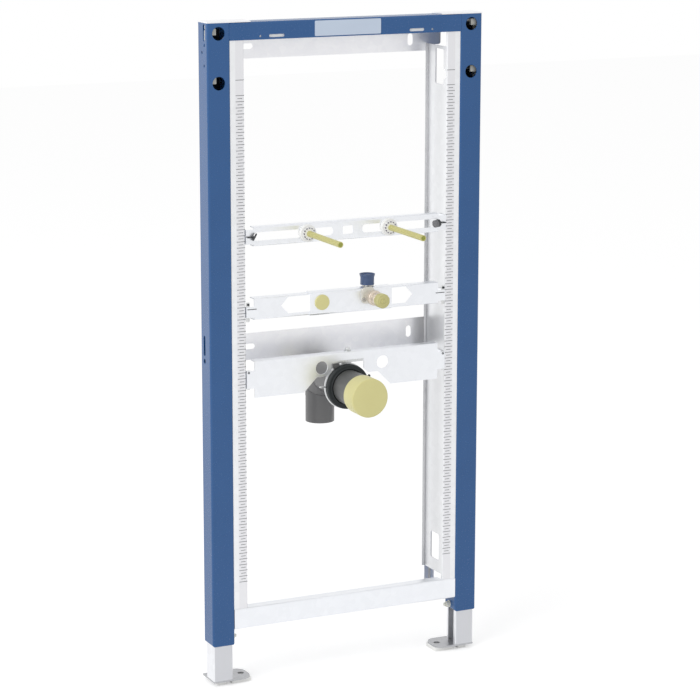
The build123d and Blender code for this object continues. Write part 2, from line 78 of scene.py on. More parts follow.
def axes(direction, steep=0.9):
    # two unit vectors square to a direction, and the direction itself
    along = np.array(direction, float) / np.linalg.norm(direction)
    helper = toTop if abs(along[2]) < steep else toRight
    across = np.cross(np.array(helper, float), along)
    across /= np.linalg.norm(across)
    return across, np.cross(along, across), along


def turned(profile, origin, direction, count=40, shape=None):
    # pairs of radius and height go round an axis; shape, where given, sets the radius at each angle
    across, up, along = axes(direction)
    r, h = np.array(profile, float).T
    angle = np.linspace(0, 2 * np.pi, count, endpoint=False)
    reach = np.repeat(r[:, None], count, 1)
    if shape:
        reach = shape(r[:, None], h[:, None], angle[None, :])
    flat = np.cos(angle)[:, None] * across + np.sin(angle)[:, None] * up
    return ringShell(np.array(origin) + reach[..., None] * flat[None] + h[:, None, None] * along)


def softLine(points, radius, steps=4, most=0.45):
    # each inner corner becomes a quadratic curve that starts and ends one radius from it, or less
    # where a side is short, so that two curves never meet
    line = np.array(points, float)
    before = line[:-2] - line[1:-1]
    after = line[2:] - line[1:-1]
    lengths = np.minimum(np.linalg.norm(before, axis=1), np.linalg.norm(after, axis=1))
    reach = np.minimum(radius, most * lengths)[:, None]
    first = line[1:-1] + reach * before / np.linalg.norm(before, axis=1)[:, None]
    last = line[1:-1] + reach * after / np.linalg.norm(after, axis=1)[:, None]
    t = np.linspace(0, 1, steps)[None, :, None]
    curve = (1 - t) ** 2 * first[:, None] + 2 * t * (1 - t) * line[1:-1][:, None] + t ** 2 * last[:, None]
    return np.concatenate([line[:1], curve.reshape(-1, line.shape[1]), line[-1:]])


def roundOutline(width, height, corner, steps=5):
    # four quarter circles of the corner radius, one at each corner of a rectangle
    turn = np.linspace(0, np.pi / 2, steps)[None, :] + np.arange(4)[:, None] * np.pi / 2
    reach = np.array(((1, 1), (-1, 1), (-1, -1), (1, -1))) * (width / 2 - corner, height / 2 - corner)
    arcs = np.stack([np.cos(turn), np.sin(turn)], -1) * corner + reach[:, None]
    return arcs.reshape(-1, 2)


def slab(outline, thickness, edge, origin, ex=toRight, ey=toTop, ez=toBack, steps=4):
    # an outline carried up a short wall, drawn in along its own normals by the edge radius at both ends
    shape = np.array(outline, float)
    along = np.roll(shape, -1, 0) - np.roll(shape, 1, 0)
    inward = np.stack([-along[:, 1], along[:, 0]], -1)
    inward /= np.linalg.norm(inward, axis=1)[:, None]
    turn = np.linspace(0, np.pi / 2, steps)
    inset = np.concatenate([edge * (1 - np.sin(turn)), edge * (1 - np.cos(turn))])
    height = np.concatenate([edge * (1 - np.cos(turn)), thickness - edge * (1 - np.sin(turn))])
    flat = shape[None] + inset[:, None, None] * inward[None]
    ex, ey, ez = (np.array(v, float) for v in (ex, ey, ez))
    rings = flat[..., :1] * ex + flat[..., 1:] * ey + height[:, None, None] * ez
    return ringShell(np.array(origin) + rings)


def bead(path, radius, ripple=0.0, waves=0, around=10, loop=False, blunt=False):
    # a circle carried along a path, square to it: its radius swells by ripple times a cosine along the
    # length, and falls off by a high power towards both ends, but not on a loop or a blunt bead
    steep, power, least = 0.8, 16, 0.02
    path = np.array(path, float)
    run = np.roll(path, -1, 0) - np.roll(path, 1, 0) if loop else np.gradient(path, axis=0)
    run /= np.linalg.norm(run, axis=1)[:, None]
    helper = np.where(np.abs(run[:, 2:]) < steep, np.array(toTop, float), np.array(toRight, float))
    across = np.cross(helper, run)
    across /= np.linalg.norm(across, axis=1)[:, None]
    up = np.cross(run, across)
    t = np.linspace(0, 1, len(path))
    size = radius * (1 + ripple * np.cos(2 * np.pi * waves * t))
    if not loop and not blunt:
        size = size * np.sqrt(np.clip(1 - (2 * t - 1) ** power, least, 1))
    angle = np.linspace(0, 2 * np.pi, around, endpoint=False)
    ring = np.cos(angle)[None, :, None] * across[:, None] + np.sin(angle)[None, :, None] * up[:, None]
    return ringShell(path[:, None] + size[:, None, None] * ring, loop)


def blocks(centres, halves):
    # a row of small plates: eight corners each, from centre plus or minus half the size
    signs = np.array([(x, y, z) for x in (-1, 1) for y in (-1, 1) for z in (-1, 1)], float)
    corners = np.array(centres)[:, None] + np.array(halves)[:, None] * signs[None]
    quad = np.array(((0, 1, 3, 2), (4, 6, 7, 5), (0, 4, 5, 1), (2, 3, 7, 6), (0, 2, 6, 4), (1, 5, 7, 3)))
    faces = (np.arange(len(corners))[:, None, None] * 8 + quad[None]).reshape(-1, 4)
    return corners.reshape(-1, 3), faces.tolist()


def hexRadius(flats):
    # distance from the axis to the side of a hexagon at each angle, cut by the circle that the profile gives
    def at(r, h, angle):
        turn = (angle + np.pi / 6) % (np.pi / 3) - np.pi / 6
        return np.minimum(flats / 2 / np.cos(turn), r)
    return at


def washerRing(inner, outer, thickness, origin, direction, soft=0.0003):
    # a flat ring with soft edges
    profile = softLine([(inner, 0), (outer, 0), (outer, thickness), (inner, thickness)], soft)
    return turned(profile, origin, direction)


# Shares of the flats' width
hexShape = {"chamfer": 0.12, "foot": 0.96, "top": 0.93}


def hexHead(flats, height, origin, direction, bore=0.0):
    # a hexagonal prism whose corners a cone cuts at both ends
    corner = flats / 2 / np.cos(np.pi / 6)
    cut = hexShape["chamfer"] * flats
    profile = [(flats / 2 * hexShape["foot"], 0), (corner, cut * 0.5), (corner, height - cut),
               (flats / 2 * hexShape["top"], height), (bore, height)]
    return turned(profile, origin, direction, 48, hexRadius(flats))


# Shares of the radius, the height and the slot's width
panShape = {"fall": 0.75, "rim": 0.97, "rimHeight": 0.2, "slotEdge": 0.15, "slotReach": 0.62,
            "slotDepth": 0.55}


def panHead(radius, height, origin, direction, slotWidth):
    # a dome with a cross recess: height falls where either cross arm lies, by a smooth step at its edges
    across, up, along = axes(direction)
    r = np.concatenate([np.linspace(0, radius, 22), [radius, radius * panShape["rim"]]])
    angle = np.linspace(0, 2 * np.pi, 64, endpoint=False)
    x, y = r[:, None] * np.cos(angle), r[:, None] * np.sin(angle)
    fall = 1 - panShape["fall"] * (r / radius) ** 2
    dome = height * np.sqrt(np.clip(fall, 0, 1))[:, None] + 0 * x
    arm = np.minimum(np.abs(x), np.abs(y))
    reach = np.maximum(np.abs(x), np.abs(y))
    step = slotWidth * panShape["slotEdge"]
    inArm = 1 / (1 + np.exp((arm - slotWidth / 2) / step))
    dip = inArm / (1 + np.exp((reach - radius * panShape["slotReach"]) / step))
    z = dome - panShape["slotDepth"] * height * dip
    z[-2:] = np.array((height * panShape["rimHeight"], 0.0))[:, None]
    return ringShell(np.array(origin) + x[..., None] * across + y[..., None] * up + z[..., None] * along)


# Shares of the radius, the height and the key's width
socketShape = {"knurl": 0.018, "knurls": 30, "side": 0.97, "rim": 0.9, "edge": 0.88, "inside": 0.6,
               "mouth": 0.66, "pocket": 0.58, "pocketTop": 0.97, "pocketLow": 0.45, "floor": 0.4}


def socketHead(radius, height, origin, direction, key):
    # a knurled cylinder with a hexagonal pocket: outer rings carry waves, inner rings follow the hexagon
    def shape(r, h, angle):
        wave = r * (1 + socketShape["knurl"] * np.cos(socketShape["knurls"] * angle))
        pocket = np.minimum(hexRadius(key)(np.inf, h, angle) + 0 * r, r)
        inside = np.where(r <= key * socketShape["inside"], pocket, r)
        return np.where(r > radius * socketShape["side"], wave, inside)
    mouth, pocketWide = key * socketShape["mouth"], key * socketShape["pocket"]
    profile = [(radius, 0), (radius, height * socketShape["edge"]), (radius * socketShape["rim"], height),
               (mouth, height), (pocketWide, height * socketShape["pocketTop"]),
               (pocketWide, height * socketShape["pocketLow"]), (0, height * socketShape["floor"])]
    return turned(profile, origin, direction, 60, shape)


# Distances under which points merge: in new shells, in slivers, and in copies of the solids
merging = {"shell": 1e-7, "sliver": 1e-8, "solid": 1e-6}


def closedMesh(name, shells):
    # shells become one mesh: doubles at the poles merge and faces turn outwards
    start = np.cumsum([0] + [len(v) for v, _ in shells])
    faces = [[i + s for i in f] for (_, fs), s in zip(shells, start) for f in fs]
    mesh = bpy.data.meshes.new(name)
    mesh.from_pydata(np.concatenate([v for v, _ in shells]).tolist(), [], faces)
    work = bmesh.new()
    work.from_mesh(mesh)
    bmesh.ops.remove_doubles(work, verts=work.verts, dist=merging["shell"])
    bmesh.ops.dissolve_degenerate(work, edges=work.edges, dist=merging["sliver"])
    bmesh.ops.recalc_face_normals(work, faces=work.faces)
    work.to_mesh(mesh)
    work.free()
    return mesh


def addPiece(name, shells, body, finish, smooth=35, replace=None):
    # the mesh of some shells, smooth but for edges over the angle, on its body
    mesh = closedMesh(name, shells)
    mesh.shade_smooth()
    mesh.set_sharp_from_angle(angle=np.radians(smooth))
    mesh.materials.append(finish)
    piece = bpy.data.objects.new(name, mesh)
    scene.collection.objects.link(piece)
    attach(piece, body)
    if replace:
        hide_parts(replace)


# Finishes, all on Object coordinates
def srgb(r, g, b):
    # the standard curve from screen values to linear light
    c = np.array((r, g, b)) / 255
    return tuple(np.where(c <= 0.04045, c / 12.92, ((c + 0.055) / 1.055) ** 2.4)) + (1.0,)


def node(tree, kind, links=None, **values):
    made = tree.nodes.new(kind)
    for key, value in values.items():
        if hasattr(made, key):
            setattr(made, key, value)
        else:
            made.inputs[key.replace("_", " ")].default_value = value
    for key, source in (links or {}).items():
        tree.links.new(source, made.inputs[key])
    return made


def maths(tree, operation, first, second=None, value=None):
    # one step of arithmetic on a link, with a second link or a value
    made = node(tree, "ShaderNodeMath", {0: first}, operation=operation)
    if second is not None:
        tree.links.new(second, made.inputs[1])
    if value is not None:
        made.inputs[1].default_value = value
    return made.outputs[0]


def mapRange(tree, source, fromRange=(0.0, 1.0), toRange=(0.0, 1.0)):
    made = node(tree, "ShaderNodeMapRange", {"Value": source})
    for key, value in zip(("From Min", "From Max", "To Min", "To Max"), (*fromRange, *toRange)):
        made.inputs[key].default_value = value
    return made.outputs["Result"]


def withShadeBand(tree, place, colour, band):
    # painted shade: a darker tone on the front faces, across the width up to a limit, and only in front of a
    # plane
    spot = node(tree, "ShaderNodeSeparateXYZ", {"Vector": place})
    inner = maths(tree, "LESS_THAN", maths(tree, "ABSOLUTE", spot.outputs["X"]), value=band["width"])
    front = maths(tree, "LESS_THAN", spot.outputs["Y"], value=band["plane"])
    both = maths(tree, "MULTIPLY", inner, front)
    stripe = node(tree, "ShaderNodeMix", {"Factor": both, 6: colour}, data_type="RGBA")
    stripe.inputs[7].default_value = band["tone"]
    return stripe.outputs[2]


def withShadeFade(tree, place, colour, fade):
    # painted shade: the colour times a grey that changes along one axis of the piece
    spot = node(tree, "ShaderNodeSeparateXYZ", {"Vector": place})
    ramp = node(tree, "ShaderNodeValToRGB",
                {"Fac": mapRange(tree, spot.outputs[fade["axis"]], (fade["front"], fade["back"]))})
    stops = ramp.color_ramp.elements
    stops[0].color = (1, 1, 1, 1)
    stops[1].color = (fade["edge"],) * 3 + (1,)
    for at, grey in fade["stops"]:
        stops.new(at).color = (grey,) * 3 + (1,)
    shade = node(tree, "ShaderNodeMix", {6: colour, 7: ramp.outputs["Color"]}, data_type="RGBA",
                 blend_type="MULTIPLY", Factor=1.0)
    return shade.outputs[2]


noise = {"broad": 14.0, "broadDetail": 3.0, "fineDetail": 4.0, "range": (0.3, 0.7), "cellRange": (0.1, 0.5)}


def makeFinish(name, light, dark, rough, grain, bump, metal=0.0, specular=0.5, cells=0.0, stretch=(1, 1, 1),
               band=None, fade=None):
    # colour runs between two tones with a broad noise; a fine one sets the roughness and lifts the surface
    made = bpy.data.materials.new(name)
    made.use_nodes = True
    tree = made.node_tree
    shader = tree.nodes["Principled BSDF"]
    place = node(tree, "ShaderNodeTexCoord").outputs["Object"]
    scaled = node(tree, "ShaderNodeMapping", {"Vector": place}, Scale=stretch).outputs["Vector"]
    broad = node(tree, "ShaderNodeTexNoise", {"Vector": place}, Scale=noise["broad"],
                 Detail=noise["broadDetail"])
    fine = node(tree, "ShaderNodeTexNoise", {"Vector": scaled}, Scale=grain, Detail=noise["fineDetail"])
    tone = broad.outputs["Fac"]
    if cells:
        spangle = node(tree, "ShaderNodeTexVoronoi", {"Vector": scaled}, Scale=cells).outputs["Color"]
        flake = node(tree, "ShaderNodeSeparateColor", {"Color": spangle}).outputs["Red"]
        tone = maths(tree, "MULTIPLY", tone, flake)
    share = mapRange(tree, tone, noise["cellRange"] if cells else noise["range"])
    mix = node(tree, "ShaderNodeMix", {"Factor": share}, data_type="RGBA")
    mix.inputs[6].default_value = dark
    mix.inputs[7].default_value = light
    colour = mix.outputs[2]
    gloss = mapRange(tree, fine.outputs["Fac"], noise["range"], rough)
    tree.links.new(gloss, shader.inputs["Roughness"])
    lift = node(tree, "ShaderNodeBump", {"Height": fine.outputs["Fac"]}, Strength=bump[0], Distance=bump[1])
    tree.links.new(lift.outputs["Normal"], shader.inputs["Normal"])
    shader.inputs["Metallic"].default_value = metal
    shader.inputs["Specular IOR Level"].default_value = specular
    if band:
        colour = withShadeBand(tree, place, colour, band)
    if fade:
        colour = withShadeFade(tree, place, colour, fade)
    tree.links.new(colour, shader.inputs["Base Color"])
    return made


# Painted and galvanised sheet
bluePaint = makeFinish("bluePaint", srgb(38, 88, 144), srgb(35, 85, 140), (0.24, 0.28), 420.0, (0.02, 0.0001))
zinc = {"grain": 260.0, "bump": (0.012, 0.0001), "metal": 0.85, "cells": 95.0}
railZinc = makeFinish("railZinc", srgb(240, 242, 246), srgb(237, 239, 243), (0.29, 0.33), **zinc)
wallZinc = makeFinish("wallZinc", srgb(244, 244, 246), srgb(240, 240, 243), (0.30, 0.40), **zinc)
# painted shade and reflection: the lower wall plate darkens towards its right end, for the dark corner and
# web seen in it
endShadeFade = {"axis": "X", "front": 0.128, "back": 0.172, "edge": 0.48,
           "stops": ((0.25, 0.94), (0.5, 0.92), (0.65, 0.85), (0.8, 0.62))}
lowWallZinc = makeFinish("lowWallZinc", srgb(246, 246, 248), srgb(242, 242, 245), (0.30, 0.40),
                         fade=endShadeFade, **zinc)
# painted shade: a darker band down the scale rails' front flanges, for the shade of their slight bend
rulerShadeBand = {"width": 0.2005, "plane": -0.0008, "tone": srgb(229, 229, 232)}
# painted shade: the scale rails' web darkens towards its back edge, where the rear lip and the bend shade it
webShadeFade = {"axis": "Y", "front": -0.0005, "back": 0.0668, "edge": 0.68,
           "stops": ((0.05, 0.92), (0.3, 0.85), (0.5, 0.86), (0.7, 0.92), (0.82, 0.95), (0.92, 0.95))}
scaleZinc = makeFinish("scaleZinc", srgb(239, 240, 242), srgb(235, 236, 238), (0.36, 0.42), band=rulerShadeBand,
                       fade=webShadeFade, **zinc)
# painted shade: the legs' front faces are darker than their sides, as the light falls on them from the left
legFrontShade = {"width": 0.3, "plane": -0.0003, "tone": srgb(204, 205, 209)}
legZinc = makeFinish("legZinc", srgb(238, 239, 242), srgb(233, 234, 237), (0.30, 0.36), band=legFrontShade, **zinc)
footZinc = makeFinish("footZinc", srgb(186, 187, 190), srgb(179, 180, 183), (0.34, 0.42), **zinc)

# Small metal parts
boltZinc = makeFinish("boltZinc", srgb(218, 219, 219), srgb(206, 208, 209), (0.26, 0.34), 500.0,
                      (0.03, 0.0001), metal=0.85)
darkZinc = makeFinish("darkZinc", srgb(66, 68, 71), srgb(50, 52, 55), (0.35, 0.5), 500.0, (0.1, 0.0002),
                      metal=0.6)
plating = {"grain": 500.0, "bump": (0.02, 0.0001)}
nickel = makeFinish("nickel", srgb(216, 213, 205), srgb(209, 206, 197), (0.28, 0.34), metal=0.5, **plating)
darkNickel = makeFinish("darkNickel", srgb(182, 179, 173), srgb(166, 163, 157), (0.3, 0.4), metal=0.6,
                        **plating)
neckBrass = makeFinish("neckBrass", srgb(226, 214, 200), srgb(219, 206, 190), (0.28, 0.34), metal=0.5,
                       **plating)
dullSteel = {"rough": (0.35, 0.45), "grain": 500.0, "bump": (0.03, 0.0001), "metal": 0.2}
nutPale = makeFinish("nutPale", srgb(233, 233, 224), srgb(225, 225, 215), **dullSteel)
anchorGrey = makeFinish("anchorGrey", srgb(186, 186, 180), srgb(176, 176, 170), **dullSteel)

# Plastic, rubber and ink
labelPlate = makeFinish("labelPlate", srgb(198, 211, 229), srgb(194, 207, 225), (0.3, 0.4), 900.0,
                        (0.05, 0.0001), stretch=(0.05, 1, 1))
palePlastic = makeFinish("palePlastic", srgb(249, 249, 247), srgb(244, 244, 242), (0.38, 0.46), 600.0,
                         (0.03, 0.0001))
capGrain = {"grain": 700.0, "bump": (0.06, 0.0002)}
yellowPlastic = makeFinish("yellowPlastic", srgb(221, 215, 152), srgb(216, 209, 146), (0.36, 0.46),
                           **capGrain)
capYellow = makeFinish("capYellow", srgb(202, 197, 136), srgb(196, 190, 130), (0.34, 0.44), **capGrain)
rodYellow = makeFinish("rodYellow", srgb(203, 198, 126), srgb(197, 191, 119), (0.36, 0.44), 700.0,
                       (0.04, 0.0001))
tipOlive = makeFinish("tipOlive", srgb(160, 165, 72), srgb(148, 154, 62), (0.4, 0.5), 700.0, (0.04, 0.0001))
darkPlastic = makeFinish("darkPlastic", srgb(58, 60, 63), srgb(44, 46, 49), (0.4, 0.55), 600.0,
                         (0.12, 0.0002))
knobGrey = makeFinish("knobGrey", srgb(126, 126, 128), srgb(104, 104, 108), (0.4, 0.5), 700.0, (0.05, 0.0001))
bluePlastic = makeFinish("bluePlastic", srgb(70, 90, 128), srgb(62, 82, 120), (0.3, 0.4), 600.0,
                         (0.08, 0.0002))
blackRubber = makeFinish("blackRubber", srgb(45, 49, 50), srgb(36, 40, 41), (0.45, 0.6), 900.0, (0.1, 0.0002),
                         specular=0.3)
pipeGrain = {"grain": 500.0, "bump": (0.08, 0.0002)}
greyPipe = makeFinish("greyPipe", srgb(94, 94, 95), srgb(86, 86, 87), (0.30, 0.38), specular=0.9, **pipeGrain)
socketGrey = makeFinish("socketGrey", srgb(92, 93, 92), srgb(85, 86, 85), (0.34, 0.44), **pipeGrain)
inkGrain = {"grain": 900.0, "bump": (0.05, 0.0001)}
inkGrey = makeFinish("inkGrey", srgb(142, 143, 146), srgb(130, 131, 134), (0.5, 0.6), **inkGrain)
violetInk = makeFinish("violetInk", srgb(130, 124, 140), srgb(112, 108, 124), (0.4, 0.5), **inkGrain)

looks = {
    bluePaint: "left_post right_post top_beam",
    railZinc: "fixing_rail supply_rail supply_saddle drain_plate bottom_rail",
    lowWallZinc: "lower_wall_plate",
    wallZinc: "top_wall_plate left_gusset right_gusset left_corner_bracket right_corner_bracket",
    scaleZinc: "left_scale_rail right_scale_rail pipe_clamp",
    legZinc: "left_leg right_leg",
    footZinc: "left_foot_plate right_foot_plate",
    labelPlate: "size_label",
    palePlastic: "left_rod_boss right_rod_boss left_foot_pads right_foot_pads",
    rodYellow: "left_rod_sleeve right_rod_sleeve",
    yellowPlastic: "blind_plug drain_cap",
    capYellow: "outlet_cap",
    darkPlastic: "left_fixing_clip right_fixing_clip",
    nickel: "supply_elbow",
    bluePlastic: "inlet_cap",
    blackRubber: "drain_collar",
    greyPipe: "drain_bend",
    socketGrey: "drain_socket",
}
for finish, names in looks.items():
    for name in names.split():
        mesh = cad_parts[name].data
        mesh.materials.clear()
        mesh.materials.append(finish)
print("finishes on", sum(len(v.split()) for v in looks.values()), "nodes")


# Copies of solids: merged, less some boxes, and with all behind a plane moved back
def solidCopy(name, source, body, boxes=None, push=None):
    # a step function of depth moves the back; a Boolean takes the boxes away
    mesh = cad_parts[source].data.copy()
    work = bmesh.new()
    work.from_mesh(mesh)
    bmesh.ops.remove_doubles(work, verts=work.verts, dist=merging["solid"])
    work.to_mesh(mesh)
    work.free()
    if push:
        points = np.empty(len(mesh.vertices) * 3)
        mesh.vertices.foreach_get("co", points)
        points = points.reshape(-1, 3)
        points[:, 1] += push["by"] * (points[:, 1] > push["plane"])
        mesh.vertices.foreach_set("co", points.ravel())
        mesh.update()
    piece = bpy.data.objects.new(name, mesh)
    scene.collection.objects.link(piece)
    if boxes:
        cutter = bpy.data.objects.new(name + "Cut", closedMesh(name + "Cut", [blocks(*boxes)]))
        scene.collection.objects.link(cutter)
        cut = piece.modifiers.new("cut", "BOOLEAN")
        cut.object = cutter
        cut.solver = "MANIFOLD"
        mesh = bpy.data.meshes.new_from_object(piece.evaluated_get(bpy.context.evaluated_depsgraph_get()))
        piece.modifiers.clear()
        piece.data = mesh
        bpy.data.objects.remove(cutter)
    mesh.shade_flat()  # as the solids are, so that long flat walls stay even
    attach(piece, body)
    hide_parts(source)


# Posts and legs stand a little deeper than their solids; the brackets lose the drop at their back
deeper = {"post": {"plane": 0.0290, "by": 0.0030}, "leg": {"plane": 0.0215, "by": 0.0030},
          "bracketKeep": 0.005, "margin": 0.010}
for side in sides:
    solidCopy(side + "Post", side + "_post", "frame", push=deeper["post"])
    solidCopy(side + "Leg", side + "_leg", side + "_foot", push=deeper["leg"])
    low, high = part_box(side + "_corner_bracket")
    dropTop = high.z - deeper["bracketKeep"]
    dropLow = low.z - deeper["margin"]
    centre = ((low.x + high.x) / 2, high.y, (dropTop + dropLow) / 2)
    half = ((high.x - low.x) / 2 + deeper["margin"], deeper["margin"], (dropTop - dropLow) / 2)
    solidCopy(side + "CornerBracket", side + "_corner_bracket", "frame", ([centre], [half]))
print("posts and legs done")

# Scale rails: less a strip of the rear lip and the foot of the web, so the gusset shows;
# a lip turned inwards at the back
scaleRail = {"lip": 0.0080, "reach": 0.030, "lipDeep": 0.006, "footTop": 0.142, "bend": 0.0052,
             "inside": 0.004, "margin": 0.01, "turnIn": 0.0055, "sheet": 0.0012, "turnTop": 1.065,
             "corner": 0.0008, "edge": 0.0004}
for side, sign in sides.items():
    low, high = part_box(side + "_scale_rail")
    webX = min(abs(low.x), abs(high.x))
    lipX = webX + scaleRail["lip"]
    middleZ, halfZ = (low.z + high.z) / 2, (high.z - low.z) / 2 + scaleRail["margin"]
    footX = (webX - scaleRail["inside"], lipX + scaleRail["inside"])
    footY = (low.y + scaleRail["bend"], high.y + scaleRail["margin"])
    footZ = (low.z - scaleRail["margin"], scaleRail["footTop"])
    centres = [(sign * (lipX + scaleRail["reach"] / 2), high.y, middleZ),
               (sign * sum(footX) / 2, sum(footY) / 2, sum(footZ) / 2)]
    halves = [(scaleRail["reach"] / 2, scaleRail["lipDeep"], halfZ),
              ((footX[1] - footX[0]) / 2, (footY[1] - footY[0]) / 2, (footZ[1] - footZ[0]) / 2)]
    solidCopy(side + "ScaleRail", side + "_scale_rail", "frame", (centres, halves))
    tall = scaleRail["turnTop"] - scaleRail["footTop"]
    wide = scaleRail["turnIn"] + scaleRail["sheet"]
    place = (sign * (webX + scaleRail["sheet"] - wide / 2), high.y - scaleRail["sheet"],
             scaleRail["footTop"] + tall / 2)
    outline = roundOutline(wide, tall, scaleRail["corner"], 3)
    lip = slab(outline, scaleRail["sheet"], scaleRail["edge"], place, steps=3)
    addPiece(side + "RailLip", [lip], "frame", scaleZinc)
print("scale rails done")

# Ruler on the front flanges of the scale rails: thin printed plates, long and short by turns
ruler = {"top": 1.000, "bottom": 0.180, "step": 0.005, "long": 0.015, "short": 0.0085, "inset": 0.0078,
         "tall": 0.0011, "proud": 0.0001, "seat": 0.0001, "loneHeight": 1.025, "endSlack": 1e-4}
for side, sign in sides.items():
    low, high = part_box(side + "_scale_rail")
    webX = min(abs(low.x), abs(high.x))
    z = np.arange(ruler["top"], ruler["bottom"] - ruler["endSlack"], -ruler["step"])
    z = np.append(z, ruler["loneHeight"])
    wide = np.where(np.arange(len(z)) % 2 == 0, ruler["long"], ruler["short"])
    wide[-1] = ruler["long"]
    depth = ruler["proud"] + ruler["seat"]
    centres = np.stack([np.full(len(z), sign * (webX + ruler["inset"])),
                        np.full(len(z), low.y - ruler["proud"] + depth / 2), z], -1)
    halves = np.stack([wide / 2, np.full(len(z), depth / 2), np.full(len(z), ruler["tall"] / 2)], -1)
    addPiece(side + "RulerMarks", [blocks(centres, halves)], "frame", inkGrey)
print("ruler marks done")

# Fixing rods: dashes in the boss notches, a washer, nut and thread on the tail, an olive tip in the sleeve
rod = {"dashes": 12, "dashTurn": 0.34, "dashOuter": 0.0102, "dashInner": 0.0088, "dashProud": 0.0001,
       "dashDeep": 0.0016, "dashEdge": 0.0002, "washer": 0.0085, "washerThick": 0.0016, "flats": 0.013,
       "nut": 0.0065, "pitch": 0.00125, "threadRadius": 0.0041, "threadBead": 0.00038,
       "threadStop": 0.0012, "threadSteps": 24, "tipRadius": 0.0034, "tipSink": 0.0005,
       "tipDeep": 0.006, "tipDish": (0.0004, 0.0002), "tipFlat": 0.6, "tipSoft": 0.0003}
for side in sides:
    low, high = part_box(side + "_rod_boss")
    sleeveLow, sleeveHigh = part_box(side + "_rod_sleeve")
    middle = (np.array(low) + np.array(high)) / 2
    shells = []
    for turn in np.arange(rod["dashes"]) * 2 * np.pi / rod["dashes"]:
        arc = turn + np.linspace(-0.5, 0.5, 7) * rod["dashTurn"]
        ends = [(rod["dashOuter"], arc), (rod["dashInner"], arc[::-1])]
        outline = np.concatenate([np.stack([r * np.cos(t), r * np.sin(t)], -1) for r, t in ends])
        origin = (middle[0], low.y - rod["dashProud"], middle[2])
        shells.append(slab(outline, rod["dashDeep"], rod["dashEdge"], origin, steps=3))
    addPiece(side + "BossDashes", shells, "fixing", violetInk)
    seat = np.array((middle[0], high.y, middle[2]))
    core = rod["threadRadius"]
    nutFoot = seat + np.array((0, rod["washerThick"], 0))
    nutEnd = nutFoot[1] + rod["nut"]
    turns = (sleeveHigh.y - rod["threadStop"] - nutEnd) / rod["pitch"]
    t = np.linspace(0, 1, int(turns * rod["threadSteps"]))
    helix = np.stack([middle[0] + core * np.cos(2 * np.pi * turns * t), nutEnd + t * turns * rod["pitch"],
                      middle[2] + core * np.sin(2 * np.pi * turns * t)], -1)
    shells = [washerRing(core, rod["washer"], rod["washerThick"], seat, toBack),
              hexHead(rod["flats"], rod["nut"], nutFoot, toBack, core),
              bead(helix, rod["threadBead"], around=6)]
    addPiece(side + "RodNut", shells, "fixing", boltZinc)
    tip = np.array((middle[0], sleeveLow.y + rod["tipSink"], middle[2]))
    dish, rim = rod["tipDish"]
    plug = softLine([(0, dish), (rod["tipRadius"] * rod["tipFlat"], rim), (rod["tipRadius"], 0),
                     (rod["tipRadius"], rod["tipDeep"]), (0, rod["tipDeep"])], rod["tipSoft"])
    addPiece(side + "RodTip", [turned(plug, tip, toBack)], "fixing", tipOlive)
print("rod fittings done")

# Clips at the ends of the fixing rail: a fluted knob with a neck and a pin to the scale rail.
# The left knob is turned inwards and down, the right one lies along its pin with a paler fluted cap.
clip = {"flutes": 8, "fluteDepth": 0.10, "rimFrom": 0.8, "pin": 0.0011, "neck": 0.0017, "neckLong": 0.006,
        "soft": 0.0007, "dishOuter": 0.6, "dishInner": 0.5, "dishFloor": 0.7, "points": 84,
        "leftLean": (0.76, -0.47, -0.44), "leftRadius": 0.0068, "leftThick": 0.0026, "leftIn": 0.0055,
        "rightLean": (-0.97, -0.20, -0.13), "rightRadius": 0.0066, "rightThick": 0.0046, "rightIn": 0.0036,
        "capRadius": 0.0064, "capThick": 0.0064, "capSeat": 0.9}


def fluted(r, h, angle):
    # the rim is drawn in by a cosine around the knob
    rim = r > clip["rimFrom"] * clip["capRadius"]
    return r * (1 - clip["fluteDepth"] * (0.5 + 0.5 * np.cos(clip["flutes"] * angle)) * rim)


for side, sign in sides.items():
    low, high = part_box(side + "_fixing_clip")
    middle = (np.array(low) + np.array(high)) / 2
    outer = high.x if sign > 0 else low.x
    inner = low.x if sign > 0 else high.x
    centre = np.array((inner + sign * clip[side + "In"], middle[1], middle[2]))
    lean = np.array(clip[side + "Lean"])
    half = clip[side + "Thick"] / 2
    radius = clip[side + "Radius"]
    dishZ = half * clip["dishFloor"]
    profile = softLine([(0, -half), (radius, -half), (radius, half), (radius * clip["dishOuter"], half),
                        (radius * clip["dishInner"], dishZ), (0, dishZ)], clip["soft"])
    knob = turned(profile, centre, lean, clip["points"], fluted)
    pinPath = np.linspace(centre, (outer, centre[1], centre[2]), 12)
    neckPath = np.linspace(centre, centre + (sign * clip["neckLong"], 0, 0), 6)
    shells = [knob, bead(pinPath, clip["pin"]), bead(neckPath, clip["neck"])]
    addPiece(side + "ClipKnob", shells, "fixing", darkPlastic, replace=side + "_fixing_clip")
    if side == "right":
        seat = centre + lean / np.linalg.norm(lean) * half * clip["capSeat"]
        profile = softLine([(0, 0), (clip["capRadius"], 0), (clip["capRadius"], clip["capThick"]),
                            (0, clip["capThick"])], clip["soft"])
        cap = turned(profile, seat, lean, clip["points"], fluted)
        addPiece("rightClipCap", [cap], "fixing", knobGrey)
print("clips done")
